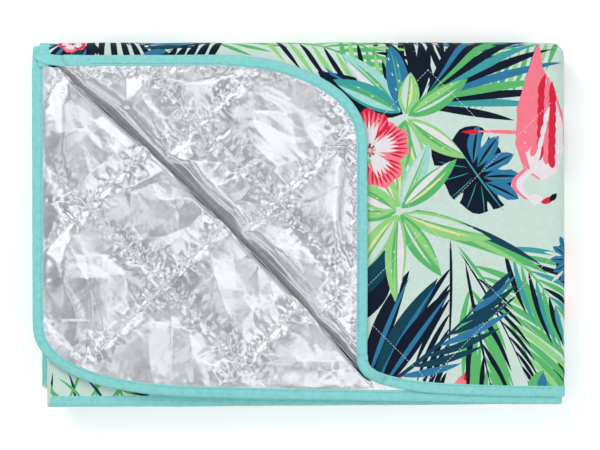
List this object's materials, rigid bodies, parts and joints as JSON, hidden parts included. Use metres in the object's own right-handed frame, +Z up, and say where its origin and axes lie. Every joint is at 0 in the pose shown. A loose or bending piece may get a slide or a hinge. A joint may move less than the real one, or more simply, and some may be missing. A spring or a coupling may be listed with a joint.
{
  "type": "camp blanket",
  "caption": "Folded camp and picnic blanket, printed quilted cloth with foil backing and bound edges, one corner turned back.",
  "frame": {"origin": "centre of the folded stack's footprint, on the ground it lies on", "axes": "+X along the folded stack's long side, towards the side fold; +Y towards the end fold; +Z up"},
  "size_m": [0.5, 0.343, 0.0492],
  "materials": {
    "print_cloth": "matt woven polyester, tropical print on a pale mint ground",
    "wadding": "lofted fibre",
    "foil_backing": "bright creased metallised film",
    "edge_binding": "woven tape, turquoise",
    "stitching_thread": "polyester thread"
  },
  "bodies": {
    "lower_half": {"bottom_fold_layers_10_11": "print_cloth", "bottom_fold_layers_13_16": "print_cloth", "bottom_fold_layers_14_15": "print_cloth", "bottom_fold_layers_9_12": "print_cloth", "end_fold_quarter1": "print_cloth", "end_fold_quarter1_binding": "edge_binding", "end_fold_quarter2": "foil_backing", "end_fold_quarter2_binding": "edge_binding", "end_fold_quarter3": "print_cloth", "end_fold_quarter3_binding": "edge_binding", "end_fold_quarter4": "foil_backing", "end_fold_quarter4_binding": "edge_binding", "left_fold_layers_11_12": "print_cloth", "left_fold_layers_9_10": "print_cloth", "lower_quarter1_edge_binding": "edge_binding", "lower_quarter1_foil_backing": "foil_backing", "lower_quarter1_print_cloth": "print_cloth", "lower_quarter1_wadding": "wadding", "lower_quarter2_edge_binding": "edge_binding", "lower_quarter2_foil_backing": "foil_backing", "lower_quarter2_print_cloth": "print_cloth", "lower_quarter2_wadding": "wadding", "lower_quarter3_edge_binding": "edge_binding", "lower_quarter3_foil_backing": "foil_backing", "lower_quarter3_print_cloth": "print_cloth", "lower_quarter3_wadding": "wadding", "lower_quarter4_edge_binding": "edge_binding", "lower_quarter4_foil_backing": "foil_backing", "lower_quarter4_print_cloth": "print_cloth", "lower_quarter4_wadding": "wadding"},
    "upper_half": {"layer1_stitching": "stitching_thread", "layer2_stitching": "stitching_thread", "left_fold_layers_5_6": "print_cloth", "left_fold_layers_7_8": "print_cloth", "upper_quarter1_edge_binding": "edge_binding", "upper_quarter1_foil_backing": "foil_backing", "upper_quarter1_print_cloth": "print_cloth", "upper_quarter1_wadding": "wadding", "upper_quarter2_edge_binding": "edge_binding", "upper_quarter2_foil_backing": "foil_backing", "upper_quarter2_print_cloth": "print_cloth", "upper_quarter2_wadding": "wadding", "upper_quarter3_edge_binding": "edge_binding", "upper_quarter3_foil_backing": "foil_backing", "upper_quarter3_print_cloth": "print_cloth", "upper_quarter3_wadding": "wadding", "upper_quarter4_edge_binding": "edge_binding", "upper_quarter4_foil_backing": "foil_backing", "upper_quarter4_print_cloth": "print_cloth", "upper_quarter4_wadding": "wadding"},
    "turned_corner": {"turned_corner_crease": "foil_backing", "turned_corner_edge_binding": "edge_binding", "turned_corner_foil_backing": "foil_backing", "turned_corner_print_cloth": "print_cloth", "turned_corner_stitching": "stitching_thread", "turned_corner_wadding": "wadding"}
  },
  "joints": [
    {"name": "end_fold_opens", "type": "hinge", "parent": "lower_half", "child": "upper_half", "pos_m": [0, 0.14845, 0.02305], "axis": [-1, 0, 0], "range_deg": [0, 175], "deforming": ["end_fold_quarter1", "end_fold_quarter1_binding", "end_fold_quarter2", "end_fold_quarter2_binding", "end_fold_quarter3", "end_fold_quarter3_binding", "end_fold_quarter4", "end_fold_quarter4_binding"]},
    {"name": "corner_turns", "type": "hinge", "parent": "upper_half", "child": "turned_corner", "pos_m": [-0.0405, -0.0405, 0.04625], "axis": [0.7071, -0.7071, 0], "range_deg": [0, 178], "deforming": ["turned_corner_crease"]}
  ]
}
